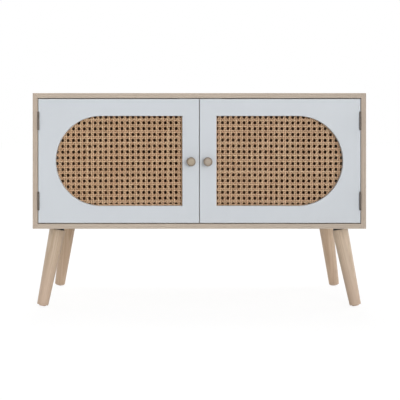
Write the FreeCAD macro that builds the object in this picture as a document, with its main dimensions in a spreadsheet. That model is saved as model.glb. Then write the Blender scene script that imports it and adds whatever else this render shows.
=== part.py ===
import FreeCAD, Part

import os
import re
from math import pi

import Sketcher
from FreeCAD import Placement, Rotation, Vector

# A two-door record cabinet on four splayed legs. Millimetres, +Z up, front towards -Y, and the
# origin on the floor under the middle of the whole cabinet, knobs included.

SIZES = (
    # carcass
    ("width", 1000, "over the side panels"),
    ("depth", 420, "of the side panels, front to back"),
    ("carcass_height", 407, "of the side panels"),
    ("underside_height", 246, "floor to the underside of the carcass"),
    ("board", 15, "thickness of the carcass boards"),
    ("board_edge", 0.5, "chamfer on every board edge"),
    ("back_board", 3, "thickness of the back panel"),
    ("back_inset", 12, "back panel to the rear edge of the carcass"),
    ("groove_depth", 6, "of the grooves that hold the back panel"),
    ("board_gap", 0.2, "clearance round a board in its groove"),
    # pegs and screws of the carcass
    ("peg_gap", 0.05, "radial clearance of a dowel, bolt or screw in its hole"),
    ("joint_inset", 45, "carcass edge to the nearest cam bolt"),
    ("dowel_spacing", 40, "cam bolt to the dowel beside it"),
    ("dowel_diameter", 8, "of the wooden dowels"),
    ("dowel_length", 30, "of the wooden dowels"),
    ("dowel_seat", 10, "dowel in the face of a board"),
    ("cam_diameter", 15, "of a cam lock"),
    ("cam_height", 11.5, "of a cam lock"),
    ("cam_setback", 34, "board end to the middle of a cam lock"),
    ("cam_slot", 3, "width of the screwdriver slot in a cam lock"),
    ("cam_slot_depth", 1.5, "of the screwdriver slot in a cam lock"),
    ("bolt_shaft", 6, "diameter of a cam bolt"),
    ("bolt_head", 7.4, "diameter of the head of a cam bolt"),
    ("bolt_head_length", 3, "of the head of a cam bolt"),
    ("bolt_thread", 5, "diameter of the thread of a cam bolt"),
    ("bolt_seat", 11, "thread of a cam bolt in the side panel"),
    ("partition_screw", 5, "diameter of a partition screw"),
    ("partition_screw_head", 9, "diameter of its head"),
    ("partition_screw_head_height", 3, "of its head, sunk in the bottom panel"),
    ("partition_screw_length", 50, "with its head"),
    # doors
    ("door_board", 18, "thickness of a door"),
    ("door_edge", 1, "radius on the front edges of a door"),
    ("door_gap", 2, "between the doors"),
    ("door_gap_above", 2.5, "top panel to the doors"),
    ("door_gap_below", 2.5, "bottom panel to the doors"),
    ("margin", 51, "top and bottom edge of a door to the opening for the cane"),
    ("hinge_margin", 52, "hinged edge of a door to the opening"),
    ("free_margin", 50, "free edge of a door to the opening"),
    ("rebate_width", 10, "of the step behind the opening"),
    ("rebate_depth", 5, "of the step behind the opening"),
    # cane and what holds it
    ("cane_thickness", 1.6, "of the woven cane"),
    ("cane_lap", 8, "cane behind the edge of the opening"),
    ("cane_hole", 7.6, "diameter of a hole in the weave"),
    ("cane_pitch_across", 16.3, "hole to hole, side to side"),
    ("cane_pitch_up", 17.5, "hole to hole, upwards"),
    ("cane_first_hole", 19, "straight edge of the opening to the middle of the nearest holes"),
    ("cane_edge", 0.6, "least cane between a hole and the edge of the opening"),
    ("retainer_gap", 0.3, "retaining ring to the wall of the step"),
    ("brad_diameter", 1.4, "of the brads through the retaining ring"),
    ("brad_grip", 5, "brad in the door"),
    # knobs
    ("knob_reach", 25, "knob in front of the door"),
    ("knob_diameter", 27, "of the head"),
    ("knob_neck", 14, "diameter of the neck"),
    ("knob_neck_length", 6, "straight part of the neck"),
    ("knob_flare", 5, "length of the cone behind the head"),
    ("knob_round", 6.5, "radius on the front rim of the head"),
    ("knob_inset", 24, "free edge of the door to the middle of the knob"),
    ("knob_drop", 2, "middle of the knob below the middle of the door"),
    ("knob_screw", 4, "diameter of the knob's screw"),
    ("knob_screw_grip", 14, "screw in the knob"),
    ("knob_screw_head", 8, "diameter of its head"),
    ("knob_screw_head_height", 2.4, "of its head"),
    # hinges
    ("hinge_length", 54, "of a leaf"),
    ("hinge_offset", 120, "mid height of the doors to the middle of a hinge"),
    ("hinge_leaf", 0.9, "thickness of a leaf"),
    ("hinge_leaf_width", 13, "of a leaf, behind the front of the carcass"),
    ("leaf_gap", 0.2, "between the two leaves of a closed hinge"),
    ("knuckle_diameter", 5.8, "of the barrel"),
    ("knuckle_gap", 0.2, "barrel to the front of the door, and knuckle to knuckle"),
    ("pin_diameter", 2.4, "of the hinge pin"),
    ("pin_head", 4, "diameter of the heads of the pin"),
    ("pin_head_height", 1, "of the heads of the pin"),
    ("hinge_screw", 3, "diameter of a hinge screw"),
    ("hinge_screw_head", 5.6, "diameter of its sunk head"),
    ("hinge_screw_length", 12, "with its head"),
    ("hinge_screw_spacing", 32, "between the two screws of a leaf"),
    # magnetic catches
    ("catch_inset", 45, "middle of the cabinet to the middle of a catch"),
    ("catch_length", 46, "over the ears"),
    ("catch_body_length", 28, "between the ears"),
    ("catch_depth", 20, "front to back"),
    ("catch_height", 17, "below the top panel"),
    ("catch_ear", 4, "thickness of an ear"),
    ("catch_gap", 0.2, "catch to the strike plate of a closed door"),
    ("magnet_length", 22, "of the magnet"),
    ("magnet_height", 6, "of the magnet"),
    ("magnet_depth", 10, "of the magnet"),
    ("pole_plate", 1.2, "thickness of the steel plates on the magnet"),
    ("small_screw", 3, "diameter of the catch and strike screws"),
    ("small_screw_head", 6, "diameter of their heads"),
    ("small_screw_head_height", 2, "of the heads of the catch screws"),
    ("small_screw_grip", 9, "screw in the board"),
    ("strike_length", 36, "of the strike plate"),
    ("strike_height", 10, "of the strike plate"),
    ("strike_plate", 1.4, "thickness of the strike plate"),
    ("strike_screw_spacing", 24, "between its two screws"),
    ("bumper", 2, "thickness of the door bumpers, door to partition"),
    ("bumper_diameter", 5.5, "of the door bumpers"),
    ("bumper_height", 40, "bottom panel to the middle of a bumper"),
    # legs
    ("leg_inset_side", 60, "carcass side to the leg's axis at the underside"),
    ("leg_inset_front", 98, "carcass front or back to the leg's axis at the underside"),
    ("leg_splay", 13.6, "degrees from upright, towards the corner"),
    ("leg_drop", 15, "underside to the middle of the leg's seat"),
    ("leg_top", 49, "diameter of a leg at its seat"),
    ("leg_foot", 34.5, "diameter of a leg at its foot"),
    ("leg_round", 1.5, "radius on the two rims of a leg"),
    ("plate_side", 64, "of the square leg plate"),
    ("plate", 2.5, "thickness of the leg plate"),
    ("boss_diameter", 42, "of the slanted boss on the leg plate"),
    ("plate_screw", 4, "diameter of a plate screw"),
    ("plate_screw_head", 8, "diameter of its head"),
    ("plate_screw_head_height", 2, "of its head"),
    ("plate_screw_grip", 10, "screw in the bottom panel"),
    ("plate_screw_spacing", 48, "between the screws of a plate"),
    ("hanger_bolt", 8, "diameter of the hanger bolt"),
    ("hanger_grip", 35, "bolt in the leg"),
    ("hanger_end", 11, "bolt above the seat"),
    ("glide_diameter", 20, "of a foot glide"),
    ("glide", 3, "thickness of a foot glide"),
)

# Places and sizes that follow from the sheet. Every name here is the middle, a face or a length in
# the left half of the cabinet; the right half is its mirror image.
DERIVED = {
    "carcass_front": "(knob_reach - depth) / 2",
    "carcass_back": "carcass_front + depth",
    "carcass_middle": "carcass_front + depth / 2",
    "carcass_left": "-width / 2",
    "carcass_top": "underside_height + carcass_height",
    "inside_left": "carcass_left + board",
    "inside_low": "underside_height + board",
    "inside_top": "carcass_top - board",
    "inside_width": "width - 2 * board",
    "inside_height": "carcass_height - 2 * board",
    "back_face": "carcass_back - back_inset - back_board",
    "hinge_side_gap": "2 * hinge_leaf + leaf_gap",
    "door_left": "inside_left + hinge_side_gap",
    "door_width": "inside_width / 2 - hinge_side_gap - door_gap / 2",
    "door_height": "inside_height - door_gap_above - door_gap_below",
    "mid_height": "inside_low + door_gap_below + door_height / 2",
    "door_back": "carcass_front + door_board",
    "rebate_floor": "door_back - rebate_depth",
    "opening_radius": "door_height / 2 - margin",
    "opening_straight": "door_width - hinge_margin - free_margin - opening_radius",
    "arc_middle": "door_left + hinge_margin + opening_radius",
    "retainer_thickness": "rebate_depth - cane_thickness",
    "knob_middle": "door_left + door_width - knob_inset",
    "knob_height": "mid_height - knob_drop",
    "hinge_x": "inside_left + knuckle_diameter / 2",
    "hinge_y": "carcass_front - knuckle_diameter / 2 - knuckle_gap",
    "knuckle": "hinge_length / 5",
    "catch_front": "door_back + strike_plate + catch_gap",
    "catch_middle": "inside_top - catch_height / 2",
    "partition_front": "door_back + bumper",
    "lean": "tan(leg_splay) / sqrt(2)",
    "glide_reach": "glide * cos(leg_splay) + glide_diameter / 2 * sin(leg_splay)",
    "plate_x": "carcass_left + leg_inset_side",
    "plate_y": "carcass_front + leg_inset_front",
    "seat_x": "plate_x - leg_drop * lean",
    "seat_y": "plate_y - leg_drop * lean",
    "seat_z": "underside_height - leg_drop",
    "leg_length": "(seat_z - glide_reach) / cos(leg_splay)",
}

ALIASES = {alias for alias, value, note in SIZES}
SAME_PLACE = 1e-6
START = 10  # size of a sketch before its constraints place it
ALONG_X = Vector(1, 0, 0)
ALONG_Y = Vector(0, 1, 0)
ALONG_Z = Vector(0, 0, 1)
TO_THE_CORNER = Vector(-1, 1, 0)  # turning about this line leans a leg towards the front left corner

doc = FreeCAD.newDocument("record_cabinet")
sheet = doc.addObject("Spreadsheet::Sheet", "Sizes")
for row, (alias, value, note) in enumerate(SIZES, start=1):
    sheet.set(f"A{row}", note)
    sheet.set(f"B{row}", str(value))
    sheet.setAlias(f"B{row}", alias)
doc.recompute()


def formula(text):
    """The text with its derived names written out and its sizes read from the sheet."""

    def written_out(match):
        word = match.group(0)
        if word in DERIVED:
            return f"({formula(DERIVED[word])})"
        return f"Sizes.{word}" if word in ALIASES else word

    return re.sub(r"[a-z_]+", written_out, str(text))


def bind(thing, **properties):
    for name, text in properties.items():
        thing.setExpression(name, formula(text))
    return thing


def put(thing, x, y, z):
    for axis, text in zip("xyz", (x, y, z)):
        thing.setExpression(f"Placement.Base.{axis}", formula(text))
    return thing


def box(name, x, y, z, length, width, height):
    made = bind(doc.addObject("Part::Box", name), Length=length, Width=width, Height=height)
    return put(made, x, y, z)


def rod(name, x, y, z, along, diameter, length):
    made = bind(doc.addObject("Part::Cylinder", name), Radius=f"({diameter}) / 2", Height=length)
    made.Placement = Placement(Vector(), Rotation(ALONG_Z, along))
    return put(made, x, y, z)


def cone(name, x, y, z, along, start_diameter, end_diameter, length):
    made = doc.addObject("Part::Cone", name)
    bind(made, Radius1=f"({start_diameter}) / 2", Radius2=f"({end_diameter}) / 2", Height=length)
    made.Placement = Placement(Vector(), Rotation(ALONG_Z, along))
    return put(made, x, y, z)


def fuse(name, pieces):
    made = doc.addObject("Part::MultiFuse", name)
    made.Shapes = pieces
    return made


def cut(name, base, tools):
    made = doc.addObject("Part::Cut", name)
    made.Base = base
    made.Tool = tools[0] if len(tools) == 1 else fuse(f"{name}_tools", tools)
    return made


def group(name, pieces):
    made = doc.addObject("Part::Compound", name)
    made.Links = pieces
    return made


def mirrored(name, source, normal=ALONG_X):
    """A mirror image across the middle of the cabinet: left to right, or front to back."""
    made = doc.addObject("Part::Mirroring", name)
    made.Source = source
    made.Normal = normal
    return bind(made, **{"Base.y": "carcass_middle"})


def sketch_on(body, role, offset="0"):
    """A sketch on one of the body's origin planes, moved along the plane's normal."""
    made = body.newObject("Sketcher::SketchObject", f"{body.Name}_sketch")
    made.AttachmentSupport = [(next(f for f in body.Origin.OriginFeatures if f.Role == role), "")]
    made.MapMode = "FlatFace"
    return bind(made, **{"AttachmentOffset.Base.z": offset})


def constrain(sketch, kind, *points, value=None):
    """A constraint, with its size bound to a formula where it has one."""
    if value is None:
        sketch.addConstraint(Sketcher.Constraint(kind, *points))
        return
    number = sketch.addConstraint(Sketcher.Constraint(kind, *points, 1.0))
    sketch.setExpression(f"Constraints[{number}]", formula(value))


def closed_outline(sketch, corners):
    """Straight lines through the corners, each held by its distances from the sketch's origin."""
    spots = [Vector(START * across, START * up, 0) for across, up in OUTLINE_START[len(corners)]]
    for number, spot in enumerate(spots):
        sketch.addGeometry(Part.LineSegment(spot, spots[(number + 1) % len(spots)]), False)
    for number, (across, up) in enumerate(corners):
        constrain(sketch, "Coincident", number - 1 if number else len(corners) - 1, 2, number, 1)
        constrain(sketch, "DistanceX", -1, 1, number, 1, value=across)
        constrain(sketch, "DistanceY", -1, 1, number, 1, value=up)


OUTLINE_START = {
    4: ((0, 0), (1, 0), (1, 1), (0, 1)),
    6: ((0, 0), (1, 0), (1, 1), (2, 2), (2, 3), (0, 3)),
}


def add_feature(body, kind, sketch, **properties):
    made = body.newObject(f"PartDesign::{kind}", f"{body.Name}_{kind.lower()}")
    made.Profile = sketch
    return bind(made, **properties)


def new_body(name, x, y, z):
    return put(doc.addObject("PartDesign::Body", name), x, y, z)


def board(name, x, y, z, length, width, height):
    """A flat board with a small chamfer on every edge."""
    body = new_body(name, x, y, z)
    sketch = sketch_on(body, "XY_Plane")
    closed_outline(sketch, ((0, 0), (length, 0), (length, width), (0, width)))
    pad = add_feature(body, "Pad", sketch, Length=height)
    doc.recompute()
    chamfer = body.newObject("PartDesign::Chamfer", f"{name}_chamfer")
    chamfer.Base = (pad, [""])
    chamfer.UseAllEdges = True
    bind(chamfer, Size="board_edge")
    body.Tip = chamfer
    return body


def peg_hole(name, x, y, z, along, diameter, length):
    """The hole for a peg that starts at x, y, z, with clearance all round."""
    start = [f"{at} - {step:g} * peg_gap" for at, step in zip((x, y, z), along)]
    return rod(name, *start, along, f"{diameter} + 2 * peg_gap", f"{length} + 2 * peg_gap")


def sunk_screw(name, x, y, z, along, diameter, head, length, room="0"):
    """A screw with a 90 degree sunk head, or with room, the hole that it goes in."""
    wide = f"{diameter} + 2 * ({room})"
    shank = rod(f"{name}_shank", x, y, z, along, wide, f"{length} + {room}")
    sink = f"({head} - {diameter}) / 2"
    return fuse(name, [shank, cone(f"{name}_head", x, y, z, along, f"{head} + 2 * ({room})", wide, sink)])


def panhead_screw(name, x, y, z, along, diameter, head, head_height, length):
    """A screw that enters the wood at x, y, z, its head standing the other way."""
    shank = rod(f"{name}_shank", x, y, z, along, diameter, length)
    return fuse(name, [shank, rod(f"{name}_head", x, y, z, -along, head, head_height)])


def front_and_back(name, piece):
    return [piece, mirrored(f"{name}_at_the_back", piece, ALONG_Y)]


def both_sides(name, pieces):
    return pieces + [mirrored(f"{name}_right_{n}", piece) for n, piece in enumerate(pieces)]


NODES = []


def keep(name, piece):
    """Makes a piece one of the cabinet's own, under its own name."""
    piece.Label = name
    NODES.append(piece)
    return piece


def keep_left_and_right(name, piece):
    keep(f"left_{name}", piece)
    keep(f"right_{name}", mirrored(f"{name}_mirrored", piece))


# Carcass joints. Each corner has two cam bolts and two dowels, set about the middle of the depth.
EDGES = {"bottom": "underside_height", "top": "inside_top"}
bolt_y = "carcass_front + joint_inset"
dowel_y = "carcass_front + joint_inset + dowel_spacing"
side_holes = []
dowels = []
bolts = []
cams = []
end_holes = {}
for edge, low in EDGES.items():
    middle = f"{low} + board / 2"
    cam_x = "inside_left + cam_setback"
    dowel_start = "inside_left - dowel_seat"
    thread_start = "inside_left - bolt_seat"
    shaft_length = "cam_setback - bolt_head_length / 2"
    dowel = rod(f"{edge}_dowel", dowel_start, dowel_y, middle, ALONG_X, "dowel_diameter", "dowel_length")
    bolt = fuse(
        f"{edge}_bolt",
        [
            rod(f"{edge}_bolt_thread", thread_start, bolt_y, middle, ALONG_X, "bolt_thread", "bolt_seat"),
            rod(f"{edge}_bolt_shaft", "inside_left", bolt_y, middle, ALONG_X, "bolt_shaft", shaft_length),
            rod(
                f"{edge}_bolt_head",
                f"inside_left + {shaft_length}",
                bolt_y,
                middle,
                ALONG_X,
                "bolt_head",
                "bolt_head_length",
            ),
        ],
    )
    mouth = rod(
        f"{edge}_cam_mouth",
        f"{cam_x} - bolt_head_length / 2 - peg_gap",
        bolt_y,
        middle,
        ALONG_X,
        "bolt_head + 2 * peg_gap",
        "cam_diameter",
    )
    throat = rod(
        f"{edge}_cam_throat",
        f"{cam_x} - cam_diameter",
        bolt_y,
        middle,
        ALONG_X,
        "bolt_shaft + 2 * peg_gap",
        "cam_diameter",
    )
    slot = box(
        f"{edge}_cam_slot",
        f"{cam_x} - cam_slot / 2",
        f"{bolt_y} - cam_diameter",
        low,
        "cam_slot",
        "2 * cam_diameter",
        "cam_slot_depth",
    )
    blank = rod(f"{edge}_cam_blank", cam_x, bolt_y, low, ALONG_Z, "cam_diameter", "cam_height")
    cam = cut(f"{edge}_cam", blank, [mouth, throat, slot])
    dowels += front_and_back(f"{edge}_dowel", dowel)
    bolts += front_and_back(f"{edge}_bolt", bolt)
    cams += front_and_back(f"{edge}_cam", cam)
    dowel_hole = peg_hole(
        f"{edge}_dowel_hole", dowel_start, dowel_y, middle, ALONG_X, "dowel_diameter", "dowel_length"
    )
    thread_hole = peg_hole(
        f"{edge}_thread_hole", thread_start, bolt_y, middle, ALONG_X, "bolt_thread", "bolt_seat"
    )
    shaft_hole = peg_hole(
        f"{edge}_shaft_hole", "inside_left", bolt_y, middle, ALONG_X, "bolt_shaft", "cam_setback"
    )
    cam_hole = peg_hole(f"{edge}_cam_hole", cam_x, bolt_y, low, ALONG_Z, "cam_diameter", "cam_height")
    dowel_holes = front_and_back(f"{edge}_dowel_hole", dowel_hole)
    side_holes += dowel_holes + front_and_back(f"{edge}_thread_hole", thread_hole)
    end_holes[edge] = both_sides(
        f"{edge}_end_hole",
        dowel_holes
        + front_and_back(f"{edge}_shaft_hole", shaft_hole)
        + front_and_back(f"{edge}_cam_hole", cam_hole),
    )

# The partition stands on two screws and is pegged to the top panel by two dowels.
peg_y = "partition_front + joint_inset"
far_peg_y = "back_face - joint_inset"
partition_screws = []
partition_holes = []
for place, at in {"front": peg_y, "rear": far_peg_y}.items():
    start = "inside_top - dowel_length + dowel_seat"
    dowels.append(
        rod(f"partition_{place}_dowel", "0", at, start, ALONG_Z, "dowel_diameter", "dowel_length")
    )
    partition_holes.append(
        peg_hole(f"partition_{place}_dowel_hole", "0", at, start, ALONG_Z, "dowel_diameter", "dowel_length")
    )
    head = ("0", at, "underside_height", ALONG_Z, "partition_screw_head", "partition_screw_head_height")
    shank = ("0", at, "underside_height", ALONG_Z, "partition_screw", "partition_screw_length")
    partition_screws.append(
        fuse(
            f"partition_{place}_screw",
            [rod(f"partition_{place}_screw_head", *head), rod(f"partition_{place}_screw_shank", *shank)],
        )
    )
    partition_holes.append(peg_hole(f"partition_{place}_head_hole", *head))
    partition_holes.append(peg_hole(f"partition_{place}_shank_hole", *shank))

# Back panel, held in a groove all round.
panel_start = "groove_depth - board_gap"
keep(
    "back_panel",
    box(
        "back_board_panel",
        f"inside_left - ({panel_start})",
        "back_face",
        f"inside_low - ({panel_start})",
        f"inside_width + 2 * ({panel_start})",
        "back_board",
        f"inside_height + 2 * ({panel_start})",
    ),
)
groove = box(
    "back_groove",
    "inside_left - groove_depth",
    "back_face - board_gap",
    "inside_low - groove_depth",
    "inside_width + 2 * groove_depth",
    "back_board + 2 * board_gap",
    "inside_height + 2 * groove_depth",
)

# Hinges: the frame leaf has three knuckles and the door leaf two, on one pin.
HINGES = {"lower": "-1", "upper": "1"}
leaf_holes = {"frame": [], "door": []}
leaf_screws = {"frame": [], "door": []}
pins = []
for place, side in HINGES.items():
    middle = f"(mid_height + {side} * hinge_offset)"
    low = f"({middle} - hinge_length / 2)"
    pin_hole = rod(
        f"{place}_pin_hole",
        "hinge_x",
        "hinge_y",
        f"{low} - pin_head_height",
        ALONG_Z,
        "pin_diameter + 2 * peg_gap",
        "hinge_length + 2 * pin_head_height",
    )
    pins.append(
        fuse(
            f"{place}_pin",
            [
                rod(
                    f"{place}_pin_shaft", "hinge_x", "hinge_y", low, ALONG_Z, "pin_diameter", "hinge_length"
                ),
                rod(
                    f"{place}_pin_foot", "hinge_x", "hinge_y", low, -ALONG_Z, "pin_head", "pin_head_height"
                ),
                rod(
                    f"{place}_pin_cap",
                    "hinge_x",
                    "hinge_y",
                    f"{low} + hinge_length",
                    ALONG_Z,
                    "pin_head",
                    "pin_head_height",
                ),
            ],
        )
    )
    leaves = {
        "frame": ("inside_left", -ALONG_X, "inside_left + hinge_leaf", (0, 2, 4)),
        "door": ("door_left - hinge_leaf", ALONG_X, "door_left - hinge_leaf", (1, 3)),
    }
    for leaf, (leaf_x, into_wood, screw_x, knuckles) in leaves.items():
        name = f"{place}_hinge_{leaf}_leaf"
        wing = box(
            f"{name}_wing",
            leaf_x,
            "carcass_front",
            low,
            "hinge_leaf",
            "hinge_leaf_width",
            "hinge_length",
        )
        pieces = [wing]
        for number in knuckles:
            inner = number > 0
            outer = number < 4
            start = f"{low} + {number} * knuckle + {int(inner)} * knuckle_gap / 2"
            length = f"knuckle - {int(inner) + int(outer)} * knuckle_gap / 2"
            pieces.append(
                rod(
                    f"{name}_knuckle_{number}",
                    "hinge_x",
                    "hinge_y",
                    start,
                    ALONG_Z,
                    "knuckle_diameter",
                    length,
                )
            )
            pieces.append(
                box(
                    f"{name}_web_{number}",
                    leaf_x,
                    "hinge_y",
                    start,
                    "hinge_leaf",
                    "carcass_front - hinge_y",
                    length,
                )
            )
        holes = []
        for step, way in {"low": "-1", "high": "1"}.items():
            spot = (
                screw_x,
                "carcass_front + hinge_leaf_width / 2",
                f"{middle} + {way} * hinge_screw_spacing / 2",
                into_wood,
                "hinge_screw",
                "hinge_screw_head",
                "hinge_screw_length",
            )
            leaf_screws[leaf].append(sunk_screw(f"{name}_{step}_screw", *spot))
            holes.append(sunk_screw(f"{name}_{step}_hole", *spot, room="peg_gap"))
        leaf_holes[leaf] += holes
        solid = cut(name, fuse(f"{name}_solid", pieces), [pin_hole] + holes)
        keep_left_and_right(name, solid)
keep("hinge_pins", group("pins", both_sides("pin", pins)))
keep("hinge_frame_screws", group("frame_screws", both_sides("frame_screw", leaf_screws["frame"])))
keep("left_hinge_door_screws", group("door_screws", leaf_screws["door"]))
keep(
    "right_hinge_door_screws",
    group("door_screws_right", [mirrored(f"{s.Name}_right", s) for s in leaf_screws["door"]]),
)

# Doors. A door's own origin is the middle of its round end, on its front face.


def door_outline(sketch, growth):
    """The round-ended outline of the cane opening, made larger all round."""
    half = f"opening_radius + {growth}"
    length = f"opening_straight + {growth}"
    corners = [Vector(START * across, START * up, 0) for across, up in ((0, 1), (1, 1), (1, -1), (0, -1))]
    for start, end in zip(corners, corners[1:]):
        sketch.addGeometry(Part.LineSegment(start, end), False)
    arc = Part.ArcOfCircle(Part.Circle(Vector(), ALONG_Z, START), pi / 2, 3 * pi / 2)
    sketch.addGeometry(arc, False)
    constrain(sketch, "Coincident", 0, 2, 1, 1)
    constrain(sketch, "Coincident", 1, 2, 2, 1)
    constrain(sketch, "Coincident", 2, 2, 3, 2)
    constrain(sketch, "Coincident", 3, 1, 0, 1)
    constrain(sketch, "Coincident", 3, 3, -1, 1)
    constrain(sketch, "Horizontal", 0)
    constrain(sketch, "Horizontal", 2)
    constrain(sketch, "Vertical", 1)
    constrain(sketch, "PointOnObject", 3, 1, -2)
    constrain(sketch, "Radius", 3, value=half)
    constrain(sketch, "DistanceX", -1, 1, 1, 1, value=length)


def outline_sketch(body, growth, depth):
    """The opening's outline on a plane parallel to the door, this deep behind the door's front."""
    made = sketch_on(body, "XZ_Plane", f"-({depth})")
    door_outline(made, growth)
    return made


def round_front(body, feature, front, radius):
    """Rounds every edge of the face that lies at this y in the body."""
    doc.recompute()
    faces = [
        f"Face{number}"
        for number, face in enumerate(feature.Shape.Faces, start=1)
        if abs(face.BoundBox.YMin - front) + abs(face.BoundBox.YMax - front) < SAME_PLACE
    ]
    fillet = body.newObject("PartDesign::Fillet", f"{body.Name}_rounding")
    fillet.Base = (feature, faces)
    bind(fillet, Radius=radius)
    body.Tip = fillet


panel = new_body("door_blank", "arc_middle", "carcass_front", "mid_height")
outer = sketch_on(panel, "XZ_Plane")
left, right = "door_left - arc_middle", "door_left + door_width - arc_middle"
half_height = "door_height / 2"
closed_outline(
    outer,
    (
        (left, f"-{half_height}"),
        (right, f"-{half_height}"),
        (right, half_height),
        (left, half_height),
    ),
)
add_feature(panel, "Pad", outer, Length="door_board").Reversed = True
add_feature(panel, "Pocket", outline_sketch(panel, "0", "0"), Length="door_board")
step = add_feature(
    panel,
    "Pocket",
    outline_sketch(panel, "rebate_width", "door_board - rebate_depth"),
    Length="rebate_depth",
)
round_front(panel, step, 0, "door_edge")

# The retaining ring fills the step behind the cane, held by brads through ring, cane and door.
ring = new_body("retainer_blank", "arc_middle", "carcass_front", "mid_height")
ring_front = "door_board - retainer_thickness"
ring_pad = add_feature(
    ring, "Pad", outline_sketch(ring, "rebate_width - retainer_gap", ring_front), Length="retainer_thickness"
)
ring_pad.Reversed = True
add_feature(ring, "Pocket", outline_sketch(ring, "0", ring_front), Length="retainer_thickness")

BRAD_SHARES = (0, 0.5, 1)  # of the straight part of the ring's top and bottom
SIDE_SHARES = (-0.5, 0, 0.5)  # of the ring's radius, on its straight side
BRAD_ANGLES = (30, 60, 90, 120, 150)  # round the ring's round end, from its top
ring_line = "opening_radius + rebate_width / 2"
brad_spots = []
for share in BRAD_SHARES:
    brad_spots += [(f"{share} * opening_straight", f"{way}({ring_line})") for way in "-+"]
for share in SIDE_SHARES:
    brad_spots.append(("opening_straight + rebate_width / 2", f"{share} * opening_radius"))
for angle in BRAD_ANGLES:
    brad_spots.append((f"-({ring_line}) * sin({angle})", f"({ring_line}) * cos({angle})"))
brads = []
brad_holes = []
brad_length = "retainer_thickness + cane_thickness + brad_grip"
for number, (across, up) in enumerate(brad_spots):
    spot = (f"arc_middle + {across}", "door_back", f"mid_height + {up}", -ALONG_Y)
    brads.append(rod(f"brad_{number}", *spot, "brad_diameter", brad_length))
    brad_holes.append(peg_hole(f"brad_hole_{number}", *spot, "brad_diameter", brad_length))
for hand in ("left", "right"):
    driven = brads if hand == "left" else [mirrored(f"{b.Name}_right", b) for b in brads]
    keep(f"{hand}_brads", group(f"{hand}_brad_group", driven))
keep_left_and_right("cane_retainer", cut("retainer", ring, brad_holes))

# Cane: a sheet with a hole between every pair of strands each way, whole holes only.


def size(text):
    return float(sheet.evalExpression(formula(text)))


def cane_sheet():
    radius = size("opening_radius")
    straight = size("opening_straight")
    lap = size("cane_lap")
    outer = radius + lap
    corners = (
        Vector(0, 0, outer),
        Vector(straight + lap, 0, outer),
        Vector(straight + lap, 0, -outer),
        Vector(0, 0, -outer),
    )
    edges = [Part.makeLine(start, end) for start, end in zip(corners, corners[1:])]
    edges.append(Part.Arc(corners[3], Vector(-outer, 0, 0), corners[0]).toShape())
    hole = size("cane_hole") / 2
    across = size("cane_pitch_across")
    up = size("cane_pitch_up")
    rows = int(radius / up) + 1
    columns = int((straight + radius) / across) + 1
    circles = []
    for column in range(columns):
        x = straight - size("cane_first_hole") - column * across
        for row in range(-rows, rows):
            z = (row + 0.5) * up
            reach = radius - hole - size("cane_edge")
            inside = x * x + z * z <= reach * reach if x < 0 else abs(z) <= reach
            if inside:
                circles.append((x, z, hole))
    for across_text, up_text in brad_spots:
        circles.append((size(across_text), size(up_text), size("brad_diameter / 2 + peg_gap")))
    wires = [Part.Wire(edges)]
    wires += [Part.Wire(Part.makeCircle(radius, Vector(x, 0, z), ALONG_Y)) for x, z, radius in circles]
    return Part.Face(wires, "Part::FaceMakerBullseye").extrude(Vector(0, size("cane_thickness"), 0))


cane = doc.addObject("Part::Feature", "cane_weave")
cane.Shape = cane_sheet()
cane.Placement = Placement(Vector(size("arc_middle"), size("rebate_floor"), size("mid_height")), Rotation())
keep_left_and_right("cane", cane)

# Knob, turned about the line through its screw, and the screw from behind the door.
knob = new_body("knob_blank", "knob_middle", "carcass_front", "knob_height")
profile = sketch_on(knob, "XY_Plane")
closed_outline(
    profile,
    (
        (0, 0),
        (0, "-knob_reach"),
        ("knob_diameter / 2", "-knob_reach"),
        ("knob_diameter / 2", "-(knob_neck_length + knob_flare)"),
        ("knob_neck / 2", "-knob_neck_length"),
        ("knob_neck / 2", 0),
    ),
)
turned = add_feature(knob, "Revolution", profile)
turned.ReferenceAxis = (profile, ["V_Axis"])
turned.Angle = 360
round_front(knob, turned, -size("knob_reach"), "knob_round")
screw_start = ("knob_middle", "door_back", "knob_height", -ALONG_Y, "knob_screw")
screw_length = "door_board + knob_screw_grip"
keep_left_and_right(
    "knob_screw",
    panhead_screw(
        "knob_fixing", *screw_start, "knob_screw_head", "knob_screw_head_height", screw_length
    ),
)
knob_hole = peg_hole("knob_hole", *screw_start, screw_length)
keep_left_and_right("knob", cut("bored_knob", knob, [knob_hole]))

# Strike plates, and the bumpers that meet the partition.
strike_middle = "-catch_inset"
strike = box(
    "strike_blank",
    f"{strike_middle} - strike_length / 2",
    "door_back",
    "catch_middle - strike_height / 2",
    "strike_length",
    "strike_plate",
    "strike_height",
)
strike_screws = []
strike_holes = []
for place, way in {"outer": "-1", "inner": "1"}.items():
    spot = (
        f"{strike_middle} + {way} * strike_screw_spacing / 2",
        "door_back + strike_plate",
        "catch_middle",
        -ALONG_Y,
        "small_screw",
        "small_screw_head",
        "small_screw_grip",
    )
    strike_screws.append(sunk_screw(f"strike_screw_{place}", *spot))
    strike_holes.append(sunk_screw(f"strike_hole_{place}", *spot, room="peg_gap"))
keep_left_and_right("strike_plate", cut("strike", strike, strike_holes))
bumpers = []
for place, at in {
    "low": "inside_low + bumper_height",
    "high": "inside_top - bumper_height",
}.items():
    bumper_x = "(door_left + door_width - board / 2) / 2"
    bumpers.append(rod(f"bumper_{place}", bumper_x, "door_back", at, ALONG_Y, "bumper_diameter", "bumper"))
for name, pieces in {"strike_screws": strike_screws, "bumpers": bumpers}.items():
    keep(f"left_{name}", group(f"left_{name}_group", pieces))
    keep(f"right_{name}", group(f"right_{name}_group", [mirrored(f"{p.Name}_right", p) for p in pieces]))

keep_left_and_right(
    "door", cut("door_solid", panel, brad_holes + [knob_hole] + strike_holes + leaf_holes["door"])
)

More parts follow.
